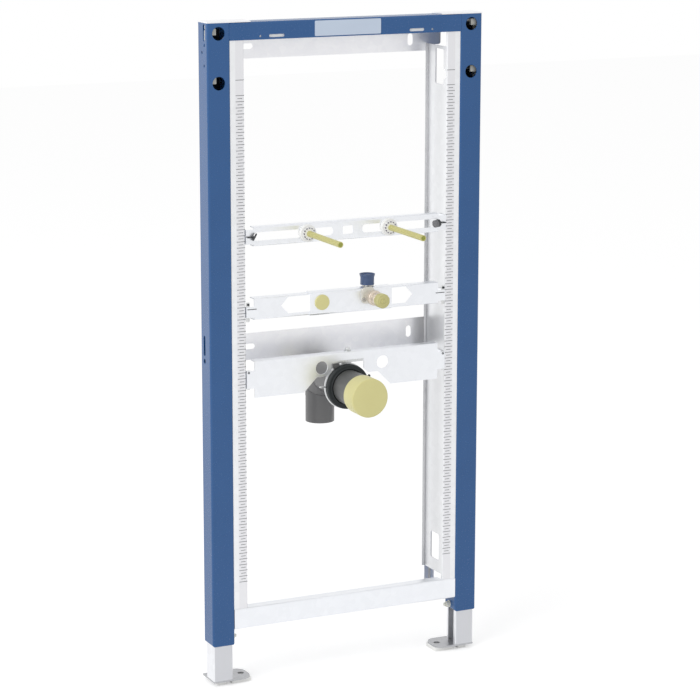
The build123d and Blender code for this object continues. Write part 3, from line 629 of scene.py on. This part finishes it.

# Ends of the supply and drain rails: a plate with a dark locking screw above and a pale one below,
# and on the supply rail's tab a thin dark bar that is painted shade, the shadow in a slit
endLock = {"pitch": 0.0257, "x": 0.1812, "sheet": 0.0015, "screw": 0.0024, "paleHead": 0.8,
           "paleSlot": 0.0009, "darkScrew": 0.0019, "head": 0.0022, "key": 0.0018, "shadeSlit": 0.0006,
           "shadeSlitIn": 0.166, "shadeSlitOut": 0.1835, "shadeSlitRise": 0.0047, "shadeSlitProud": 0.6,
           "plateWide": 0.0062, "plateTall": 0.0330, "plateThick": 0.0014, "plateCorner": 0.0018,
           "plateEdge": 0.0003,
           "rails": {"supply": ("supply_rail", 0.6414), "drain": ("drain_plate", 0.5266)}}
for rail, (source, centreZ) in endLock["rails"].items():
    low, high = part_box(source)
    for side, sign in sides.items():
        seatY = low.y + endLock["sheet"]
        x = sign * endLock["x"]
        outline = roundOutline(endLock["plateWide"], endLock["plateTall"], endLock["plateCorner"])
        plate = slab(outline, endLock["plateThick"], endLock["plateEdge"], (x, seatY, centreZ))
        lower = panHead(endLock["screw"], endLock["head"] * endLock["paleHead"],
                        (x, seatY, centreZ - endLock["pitch"] / 2), toFront, endLock["paleSlot"])
        label = side + rail.capitalize()
        addPiece(label + "LockPlate", [plate, lower], rail, boltZinc)
        shells = [socketHead(endLock["darkScrew"], endLock["head"],
                             (x, seatY, centreZ + endLock["pitch"] / 2), toFront, endLock["key"])]
        # painted shade: a thin dark bar across the supply rail's tab, standing for the shadow in a slit
        if rail == "supply":
            shadeSlitY = low.y - endLock["shadeSlit"] * endLock["shadeSlitProud"]
            shadeSlitZ = centreZ + endLock["shadeSlitRise"]
            shadeSlit = np.linspace((sign * endLock["shadeSlitIn"], shadeSlitY, shadeSlitZ),
                               (sign * endLock["shadeSlitOut"], shadeSlitY, shadeSlitZ), 24)
            shells.append(bead(shadeSlit, endLock["shadeSlit"]))
        addPiece(label + "LockScrew", shells, rail, darkZinc)
print("rail ends done")

# Drain: a hexagon screw with its washer on the plate's flange
drain = {"screwX": 0.0035, "screwBack": 0.0085, "flats": 0.008, "head": 0.0045, "washer": 0.0062,
         "washerThick": 0.0012, "mitre": 0.024, "pipe": 0.0254, "weld": 0.0009, "weldRipple": 0.12,
         "weldWaves": 40, "points": 96}
low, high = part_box("drain_plate")
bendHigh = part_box("drain_bend")[1]
axisZ = bendHigh.z - drain["pipe"]
top = np.array((drain["screwX"], low.y + drain["screwBack"], high.z))
washer = washerRing(0, drain["washer"], drain["washerThick"], top, toTop)
head = hexHead(drain["flats"], drain["head"], top + (0, 0, drain["washerThick"]), toTop)
addPiece("drainFlangeScrew", [washer, head], "drain", boltZinc)

# The clamp band lies round the collar's rear half; its strap goes up behind the plate and back under the
# flange. A crown plate stands behind the arch, and an ear at each side.
band = {"front": 0.0045, "back": 0.0102, "outer": 0.0398, "inner": 0.0366, "bulge": 0.0006,
        "soft": 0.0004, "strapWide": 0.018, "strapThick": 0.0015, "strapSink": 0.001,
        "strapDrop": 0.0016, "strapIn": 0.001, "strapBack": 0.0095, "strapBend": 0.003,
        "earLong": 0.011, "earThick": 0.0022, "earDeep": 0.0048, "earDrop": 0.0016, "earSink": 0.002,
        "earRound": 0.45, "earEdge": 0.0003, "crownWide": 0.059, "crownTall": 0.0075,
        "crownCorner": 0.001, "crownThick": 0.0012, "crownEdge": 0.0002, "crownSeat": 0.0016,
        "crownRise": 0.0448, "nutX": -0.0195, "nutSeat": 0.0028, "nutRise": 0.0374, "nutFlats": 0.0125,
        "nutLong": 0.007, "screwX": 0.0399, "screwRise": 0.0147, "screw": 0.0027, "screwHead": 0.0020,
        "screwSlot": 0.0011}
rearY = low.y + band["front"]
deep = band["back"] - band["front"]
profile = softLine([(band["inner"], 0), (band["outer"] - band["bulge"], 0), (band["outer"], deep / 2),
                    (band["outer"] - band["bulge"], deep), (band["inner"], deep), (band["inner"], 0)],
                   band["soft"])
shells = [turned(profile, (0, rearY, axisZ), toBack, drain["points"])]
strapY = rearY + band["strapIn"]
strapLow, strapTop = axisZ + band["outer"] - band["strapSink"], high.z - band["strapDrop"]
line = softLine([(strapY, strapLow), (strapY, strapTop), (rearY + band["strapBack"], strapTop)],
                band["strapBend"], 8)
across = np.array((-0.5, 0.5, 0.5, -0.5)) * band["strapWide"]
run = np.gradient(line, axis=0)
offset = np.stack([run[:, 1], -run[:, 0]], -1) / np.linalg.norm(run, axis=1)[:, None] * band["strapThick"] / 2
corners = np.stack([line - offset, line - offset, line + offset, line + offset], 1)
shells.append(ringShell(np.concatenate([np.broadcast_to(across, corners.shape[:2])[..., None], corners], -1)))
crown = roundOutline(band["crownWide"], band["crownTall"], band["crownCorner"], 3)
crownPlace = (0, low.y + band["crownSeat"], axisZ + band["crownRise"])
shells.append(slab(crown, band["crownThick"], band["crownEdge"], crownPlace, steps=3))
for sign in sides.values():
    outline = roundOutline(band["earLong"], band["earThick"], band["earThick"] * band["earRound"], 4)
    earX = band["outer"] + band["earLong"] / 2 - band["earSink"]
    origin = (sign * earX, rearY, axisZ - sign * band["earDrop"])
    shells.append(slab(outline, band["earDeep"], band["earEdge"], origin, steps=3))
addPiece("drainClampBand", shells, "drain", boltZinc, replace="pipe_clamp")
nutPlace = (band["nutX"], low.y + band["nutSeat"], axisZ + band["nutRise"])
nut = hexHead(band["nutFlats"], band["nutLong"], nutPlace, toBack)
addPiece("drainClampNut", [nut], "drain", greyPipe)
screwPlace = (band["screwX"], low.y, axisZ + band["screwRise"])
screw = panHead(band["screw"], band["screwHead"], screwPlace, toFront, band["screwSlot"])
addPiece("drainPlateScrew", [screw], "drain", darkZinc)

# Rubber collar: a rim over the front of the band, a sleeve under it, and a bead round the socket
collar = {"rim": 0.0384, "rimRound": 0.0016, "sleeve": 0.0364, "face": -0.0052, "bore": 0.0256, "lip": 0.0012,
          "step": 0.0303, "stepBlend": 0.0006, "stepWide": 0.0018, "gap": 0.0002, "soft": 0.0005}
frontY = low.y + collar["face"]
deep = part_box("drain_collar")[1].y - frontY
rearStep = rearY - frontY - collar["gap"]
stepEnd = collar["step"] + collar["stepWide"]
profile = [(collar["bore"], collar["lip"]), (collar["step"] - collar["stepBlend"], collar["lip"]),
           (collar["step"], -collar["lip"]), (stepEnd, -collar["lip"]), (stepEnd + collar["stepBlend"], 0.0),
           (collar["rim"] - collar["rimRound"], 0.0), (collar["rim"], collar["rimRound"]),
           (collar["rim"], rearStep), (collar["sleeve"], rearStep), (collar["sleeve"], deep),
           (collar["bore"], deep), (collar["bore"], collar["lip"])]
rubber = turned(softLine(profile, collar["soft"]), (0, frontY, axisZ), toBack, drain["points"])
addPiece("drainRubber", [rubber], "drain", blackRubber, replace="drain_collar")

# Skirt: the socket carried on to the collar's face
skirt = {"seat": 0.0002, "soft": 0.0001}
socketLow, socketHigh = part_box("drain_socket")
radius = (socketHigh.x - socketLow.x) / 2
start = socketHigh.y - skirt["seat"]
bore, deep = collar["bore"], frontY - start
profile = softLine([(bore, 0), (radius, 0), (radius, deep), (bore, deep), (bore, 0)], skirt["soft"])
skirtShell = turned(profile, (0, start, axisZ), toBack, drain["points"])
addPiece("drainSkirt", [skirtShell], "drain", socketGrey)

# Yellow cap on the socket: a cup that hangs a little low on its seat
cup = {"thin": 0.0007, "wall": 0.0015, "front": 0.0020, "edge": 0.0012, "aside": -0.0012, "hang": -0.0018,
       "soft": 0.0005, "points": 120}
cupLow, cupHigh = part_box("drain_cap")
radius = (cupHigh.x - cupLow.x) / 2 - cup["thin"]
bore, deep = radius - cup["wall"], cupHigh.y - cupLow.y
profile = [(0, 0), (radius - cup["edge"], 0), (radius, cup["edge"]), (radius, deep), (bore, deep),
           (bore, cup["front"]), (0, cup["front"])]
place = (cup["aside"], cupLow.y, axisZ + cup["hang"])
cupShell = turned(softLine(profile, cup["soft"]), place, toBack, cup["points"])
addPiece("drainCapCup", [cupShell], "drain", yellowPlastic, replace="drain_cap")

# Welds at the two mitres of the bend: each ring is the ellipse where two pipes meet
dropY = bendHigh.y - drain["pipe"]
slope = (0, 1, -1)
mitres = (((0, dropY - drain["mitre"], axisZ), toBack, slope),
          ((0, dropY, axisZ - drain["mitre"]), slope, (0, 0, -1)))
turn = np.linspace(0, 2 * np.pi, drain["points"], endpoint=False)
shells = []
for centre, first, second in mitres:
    first, second = (np.array(v, float) / np.linalg.norm(v) for v in (first, second))
    square = (first + second) / np.linalg.norm(first + second)
    long = np.cross(np.array(toRight, float), square)
    stretch = 1 / np.dot(first, square)
    ring = np.cos(turn)[:, None] * np.array(toRight, float) + stretch * np.sin(turn)[:, None] * long
    points, faces = bead(np.array(centre) + drain["pipe"] * ring, drain["weld"], drain["weldRipple"],
                         drain["weldWaves"], 8, loop=True)
    points[:, 1] = np.minimum(points[:, 1], bendHigh.y)  # flat where the bend's back is the rearmost point
    shells.append((points, faces))
addPiece("drainWelds", shells, "drain", greyPipe)
print("drain fittings done")

# Supply: a cast elbow with a lug, and the lug's screw
supply = {"tube": 0.0100, "tubeSeat": 0.001, "bend": 0.012, "inletTop": 0.6825, "inletShift": -0.0014,
          "capShift": -0.0019, "lugWide": 0.0250, "lugTall": 0.0284, "lugCorner": 0.008, "lugThick": 0.0027,
          "lugEdge": 0.0014, "lugX": -0.0118, "lugZ": 0.0053, "screwX": -0.0196, "screwZ": -0.0015,
          "screw": 0.0040, "head": 0.0022, "slot": 0.0014}
capLow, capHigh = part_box("outlet_cap")
inletLow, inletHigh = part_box("inlet_cap")
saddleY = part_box("supply_saddle")[0].y
axisX, axisZ = (capLow.x + capHigh.x) / 2, (capLow.z + capHigh.z) / 2
inletY = (inletLow.y + inletHigh.y) / 2
path = softLine([(axisX, saddleY - supply["tubeSeat"], axisZ), (axisX, inletY, axisZ),
                 (axisX + supply["inletShift"], inletY, supply["inletTop"])], supply["bend"], 14)
shells = [bead(path, supply["tube"], around=40, blunt=True)]
outline = roundOutline(supply["lugWide"], supply["lugTall"], supply["lugCorner"], 8)
place = (axisX + supply["lugX"], saddleY, axisZ + supply["lugZ"])
shells.append(slab(outline, supply["lugThick"], supply["lugEdge"], place, ez=toFront))
addPiece("supplyElbowCast", shells, "supply", nickel, replace="supply_elbow")

# Neck of the outlet: a flange with a sloped shoulder, a waist with a ring, and an open end
neck = {"foot": 0.002, "flange": 0.0130, "flangeEnd": 0.0070, "shoulder": (0.0121, 0.0080), "waist": 0.0105,
        "waistFrom": 0.0082, "ring": 0.0117, "ringFrom": 0.0190, "ringTo": 0.0215, "ringBlend": 0.0005,
        "bore": 0.0075, "boreDeep": 0.006, "soft": 0.0004, "points": 64}
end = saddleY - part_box("supply_elbow")[0].y
profile = [(0, neck["foot"]), (neck["flange"], neck["foot"]), (neck["flange"], neck["flangeEnd"]),
           neck["shoulder"], (neck["waist"], neck["waistFrom"]),
           (neck["waist"], neck["ringFrom"] - neck["ringBlend"]),
           (neck["ring"], neck["ringFrom"]), (neck["ring"], neck["ringTo"]),
           (neck["waist"], neck["ringTo"] + neck["ringBlend"]), (neck["waist"], end), (neck["bore"], end),
           (neck["bore"], end - neck["boreDeep"]), (0, end - neck["boreDeep"])]
neckShell = turned(softLine(profile, neck["soft"]), (axisX, saddleY, axisZ), toFront, neck["points"])
addPiece("supplyNeck", [neckShell], "supply", neckBrass)
screwPlace = (axisX + supply["screwX"], saddleY - supply["lugThick"], axisZ + supply["screwZ"])
screw = panHead(supply["screw"], supply["head"], screwPlace, toFront, supply["slot"])
addPiece("lugScrew", [screw], "supply", darkNickel)

# Blue inlet cap: base bead, waist, and a thin lip that flares at the top round a shallow dish
inlet = {"base": 0.6674, "top": 0.6858, "body": 0.0117, "bodyFrom": 0.0022, "bead": 0.0119,
         "beadTall": 0.0014, "lip": 0.0135, "lipBlend": 0.0003, "lipTall": 0.0012, "lipWide": 0.0012,
         "flare": 0.0062, "bore": 0.0107, "dish": 0.0026, "dishWall": 0.0006, "dishThick": 0.0004,
         "soft": 0.0005, "points": 72}
tall = inlet["top"] - inlet["base"]
dishZ = tall - inlet["dish"]
profile = [(inlet["bore"], 0), (inlet["bead"], 0), (inlet["bead"], inlet["beadTall"]),
           (inlet["body"], inlet["bodyFrom"]), (inlet["body"], tall - inlet["flare"]),
           (inlet["lip"] - inlet["lipBlend"], tall - inlet["lipTall"]), (inlet["lip"], tall),
           (inlet["lip"] - inlet["lipWide"], tall), (inlet["body"] - inlet["dishWall"], dishZ), (0, dishZ)]
under = dishZ - inlet["dishThick"]
inside = [(0, under), (inlet["bore"], under), (inlet["bore"], 0)]
profile = np.concatenate([softLine(profile, inlet["soft"]), inside])
place = (axisX + supply["capShift"], inletY, inlet["base"])
inletShell = turned(profile, place, toTop, inlet["points"])
addPiece("inletCapBlue", [inletShell], "supply", bluePlastic, replace="inlet_cap")

# Yellow outlet cap: ten soft facets round its wall, a ring round the nub on its face
outlet = {"facets": 10, "share": 0.55, "fadeFrom": 0.7, "wall": 0.0018, "face": 0.0015, "nub": 0.0030,
          "nubBlend": 0.0004, "ring": 0.0062, "ringRise": 0.0006, "ringRamp": 0.0008, "ringWide": 0.0010,
          "ringEnd": 0.0016, "rim": 0.0016, "floor": 0.0022, "soft": 0.0004, "points": 120, "sharp": 25}
capRadius = (capHigh.x - capLow.x) / 2


def faceted(r, h, angle):
    # radius times a polygon's own radius, faded in towards the rim
    step = 2 * np.pi / outlet["facets"]
    turn = (angle + step / 2) % step - step / 2
    flat = np.cos(step / 2) / np.cos(turn)
    share = outlet["share"] * np.clip((r / capRadius - outlet["fadeFrom"]) / (1 - outlet["fadeFrom"]), 0, 1)
    return r * (1 - share + share * flat)


deep = capHigh.y - capLow.y
bore = capRadius - outlet["wall"]
face, ring = outlet["face"], outlet["ring"]
ringFace, floorY = face - outlet["ringRise"], face + outlet["floor"]
profile = [(0, 0), (outlet["nub"], 0), (outlet["nub"] + outlet["nubBlend"], face),
           (ring - outlet["ringRamp"], face), (ring, ringFace), (ring + outlet["ringWide"], ringFace),
           (ring + outlet["ringEnd"], face), (capRadius - outlet["rim"], face),
           (capRadius, face + outlet["rim"]), (capRadius, deep), (bore, deep), (bore, floorY), (0, floorY)]
place = (axisX, capLow.y, axisZ)
capShell = turned(softLine(profile, outlet["soft"]), place, toBack, outlet["points"], faceted)
addPiece("outletCapFaceted", [capShell], "supply", capYellow, outlet["sharp"],
         replace="outlet_cap")
print("supply fittings done")

# Feet: clamp screws with nuts on the posts' inner walls, and a weld behind each leg
foot = {"screwY": 0.0185, "screwZ": 0.0805, "washer": 0.0062, "washerThick": 0.0012, "flats": 0.0095,
        "nut": 0.0062, "tip": 0.0030, "tipLong": 0.0045, "weld": 0.0013, "weldInset": 0.0015,
        "weldRipple": 0.14, "weldWaves": 16, "weldPoints": 60}
for side, sign in sides.items():
    low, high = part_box(side + "_post")
    seat = np.array((low.x if sign > 0 else high.x, foot["screwY"], foot["screwZ"]))
    inwards = np.array((-sign, 0.0, 0.0))
    nutSeat = seat + inwards * foot["washerThick"]
    tipEnd = nutSeat + inwards * (foot["nut"] + foot["tipLong"])
    shells = [washerRing(0, foot["washer"], foot["washerThick"], seat, inwards),
              hexHead(foot["flats"], foot["nut"], nutSeat, inwards, foot["tip"]),
              bead(np.linspace(nutSeat, tipEnd, 10), foot["tip"], around=20)]
    addPiece(side + "LegScrew", shells, "frame", nutPale)
    legLow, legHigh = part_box(side + "_leg")
    weldY = legHigh.y + deeper["leg"]["by"]
    weld = np.linspace((legLow.x + foot["weldInset"], weldY, legLow.z),
                       (legHigh.x - foot["weldInset"], weldY, legLow.z), foot["weldPoints"])
    weldBead = bead(weld, foot["weld"], foot["weldRipple"], foot["weldWaves"])
    addPiece(side + "FootWeld", [weldBead], side + "_foot", legZinc)
print("feet done")

# Posts: stiffening plates inside the outer wall, a dark plate across the back behind the anchor holes that is
# painted shade for the post's dark inside, nuts on studs, and a painted weld where the beam meets the post
post = {"wall": 0.002, "depth": 0.039, "plateThick": 0.0009, "plateTop": 1.106, "plateLow": 0.985,
        "plateSpan": (0.006, 0.030), "plateCorner": 0.003, "plateEdge": 0.0002, "backWide": 0.034,
        "nutWide": 0.0112, "nutCorner": 0.0012, "nutEdge": 0.0006, "nutThick": 0.005, "nutIn": 0.0127,
        "nutFront": 0.006, "nutHeights": (1.1036, 1.0252), "stud": 0.0035, "studIn": 0.0015,
        "weld": 0.0011, "weldRipple": 0.1, "weldWaves": 9, "weldLow": 0.001, "weldTop": 0.0012,
        "weldIn": 0.0009, "weldPoints": 40}
beamLow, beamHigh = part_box("top_beam")
for side, sign in sides.items():
    low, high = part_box(side + "_post")
    outerX, innerX = (f(abs(low.x), abs(high.x)) for f in (max, min))
    tall = post["plateTop"] - post["plateLow"]
    near, far = post["plateSpan"]
    middleZ = post["plateLow"] + tall / 2
    place = (sign * (outerX - post["wall"] - post["plateThick"]), low.y + (near + far) / 2, middleZ)
    outline = roundOutline(far - near, tall, post["plateCorner"])
    plate = slab(outline, post["plateThick"], post["plateEdge"], place, toBack, toTop, (sign, 0, 0))
    addPiece(side + "AnchorPlate", [plate], "frame", nutPale)
    lipY = low.y + post["depth"] - post["wall"]
    # painted shade: a dark plate across the open back, so that the anchor holes look dark inside
    place = (sign * (outerX + innerX) / 2, lipY - post["plateThick"], middleZ)
    outline = roundOutline(post["backWide"], tall, post["plateCorner"])
    plate = slab(outline, post["plateThick"], post["plateEdge"], place)
    addPiece(side + "AnchorShadeBack", [plate], "frame", darkZinc)
    shells = []
    for z in post["nutHeights"]:
        nut = np.array((sign * (outerX - post["nutIn"]), low.y + post["nutFront"], z))
        outline = roundOutline(post["nutWide"], post["nutWide"], post["nutCorner"], 3)
        shells.append(slab(outline, post["nutThick"], post["nutEdge"], nut))
        stud = np.linspace(nut + (0, post["studIn"], 0), (nut[0], lipY, z), 8)
        shells.append(bead(stud, post["stud"], around=16))
    addPiece(side + "AnchorNuts", shells, "frame", anchorGrey)
    seamX, seamY = sign * beamHigh.x, low.y + post["weldIn"]
    seam = np.linspace((seamX, seamY, beamLow.z + post["weldLow"]),
                       (seamX, seamY, beamHigh.z - post["weldTop"]), post["weldPoints"])
    weldBead = bead(seam, post["weld"], post["weldRipple"], post["weldWaves"])
    addPiece(side + "BeamWeld", [weldBead], "frame", bluePaint)

# Pale strips behind the beam's slots
strip = {"x": 0.1360, "z": 1.0945, "wide": 0.050, "tall": 0.0085, "corner": 0.001, "thick": 0.001,
         "edge": 0.0002, "seat": 0.002}
for side, sign in sides.items():
    place = (sign * strip["x"], beamLow.y + strip["seat"], strip["z"])
    outline = roundOutline(strip["wide"], strip["tall"], strip["corner"], 3)
    stripShell = slab(outline, strip["thick"], strip["edge"], place, steps=3)
    addPiece(side + "BeamStrip", [stripShell], "frame", palePlastic)
print("post details done")


def seenDirectly(tree):
    # one for camera, glossy and transmission rays, zero for the light that falls on the object
    path = node(tree, "ShaderNodeLightPath")
    seen = path.outputs["Is Camera Ray"]
    for kind in ("Is Glossy Ray", "Is Transmission Ray"):
        seen = maths(tree, "MAXIMUM", seen, path.outputs[kind])
    return seen


# Floor and light: a white sheet that keeps the shadow, a soft key lamp from the left, a panel behind on the
# left, an even white sky. A lamp is its power, its size and its place.
stage = {"half": 9.0, "points": 9, "world": 0.74, "skyWhite": 1.0, "floorWhite": 0.86, "floorLift": 0.34,
         "floorRough": 0.9, "aim": (0.0, 0.0, 0.55),
         "lamps": {"key": (55.0, 2.6, (-3.2, -1.4, 2.6)), "panel": (1.6, 1.2, (-1.25, 2.0, 0.40))}}
count = stage["points"]
span = np.linspace(-stage["half"], stage["half"], count)
gx, gy = np.meshgrid(span, span, indexing="ij")
index = np.arange(count * count).reshape(count, count)
quads = np.stack([index[:-1, :-1], index[1:, :-1], index[1:, 1:], index[:-1, 1:]], -1).reshape(-1, 4)
floorMesh = bpy.data.meshes.new("floor")
floorMesh.from_pydata(np.stack([gx, gy, 0 * gx], -1).reshape(-1, 3).tolist(), [], quads.tolist())
floor = bpy.data.objects.new("floor", floorMesh)
scene.collection.objects.link(floor)
floor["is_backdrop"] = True
paper = bpy.data.materials.new("floorPaper")
paper.use_nodes = True
tree = paper.node_tree
shader = tree.nodes["Principled BSDF"]
shader.inputs["Base Color"].default_value = (stage["floorWhite"],) * 3 + (1,)
shader.inputs["Roughness"].default_value = stage["floorRough"]
shader.inputs["Specular IOR Level"].default_value = 0.0
shader.inputs["Emission Color"].default_value = (1, 1, 1, 1)
lift = maths(tree, "MULTIPLY", seenDirectly(tree), value=stage["floorLift"])
tree.links.new(lift, shader.inputs["Emission Strength"])
floorMesh.materials.append(paper)

sky = bpy.data.worlds.new("sky")
scene.world = sky
sky.use_nodes = True
tree = sky.node_tree
glow = tree.nodes["Background"]
glow.inputs["Color"].default_value = (1, 1, 1, 1)
level = mapRange(tree, seenDirectly(tree), toRange=(stage["world"], stage["skyWhite"]))
tree.links.new(level, glow.inputs["Strength"])

for name, (energy, size, place) in stage["lamps"].items():
    lampData = bpy.data.lights.new(name, "AREA")
    lampData.energy = energy
    lampData.size = size
    lamp = bpy.data.objects.new(name, lampData)
    scene.collection.objects.link(lamp)
    across, up, along = axes(np.array(place) - stage["aim"])
    columns = np.column_stack([across, up, along, place])
    lamp.matrix_world = Matrix(np.vstack([columns, (0, 0, 0, 1)]).tolist())

# Camera at the photograph's place, with its angles in degrees and its lens in millimetres
shot = {"place": (-1.81975, -3.80800, 1.46716), "yaw": 25.616, "pitch": 12.115, "roll": 0.085, "lens": 131.71,
        "sensor": 36.0, "farthest": 50}
lens = bpy.data.cameras.new("camera")
lens.lens = shot["lens"]
lens.sensor_width = shot["sensor"]
lens.clip_end = shot["farthest"]
camera = bpy.data.objects.new("camera", lens)
scene.collection.objects.link(camera)
yaw, pitch, roll = (Matrix.Rotation(np.radians(angle), 4, axis) for angle, axis in
                    ((-shot["yaw"], "Z"), (90 - shot["pitch"], "X"), (shot["roll"], "Z")))
camera.matrix_world = Matrix.Translation(shot["place"]) @ yaw @ pitch @ roll
scene.camera = camera
scene.view_settings.view_transform = "Standard"
print("stage, light and camera done")

low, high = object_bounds()
